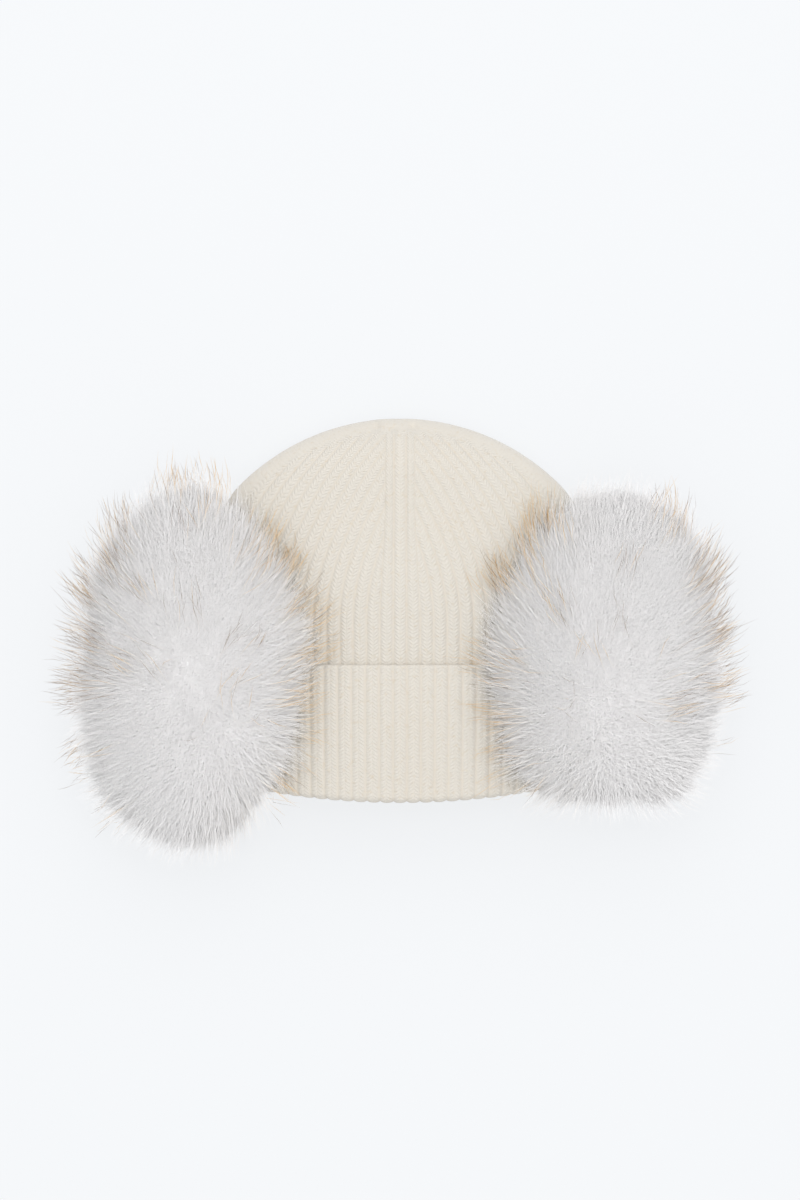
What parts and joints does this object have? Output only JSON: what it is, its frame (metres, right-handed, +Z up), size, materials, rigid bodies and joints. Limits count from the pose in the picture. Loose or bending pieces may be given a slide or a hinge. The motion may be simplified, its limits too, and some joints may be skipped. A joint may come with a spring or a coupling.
{
  "type": "earmuff beanie",
  "caption": "Rib-knit beanie with a turned-up cuff and a deep faux-fur muff over each ear, lying on its back, open at the hem for the head.",
  "frame": {"origin": "on the surface the hat lies on, under the middle of its back, halfway between the hem and the crown's far edge", "axes": "+X towards the right muff as the picture shows it, +Y from the hem towards the crown, +Z up through the front of the hat"},
  "size_m": [0.3684, 0.245, 0.0924],
  "materials": {
    "crown_knit": "cream rib knit",
    "cuff_knit": "cream rib knit",
    "left_fur": "long white pile with tan to brown tips",
    "right_fur": "long white pile with tan to brown tips"
  },
  "bodies": {
    "root": {"crown": "crown_knit", "cuff": "cuff_knit", "left_muff": "left_fur", "right_muff": "right_fur"}
  },
  "joints": []
}
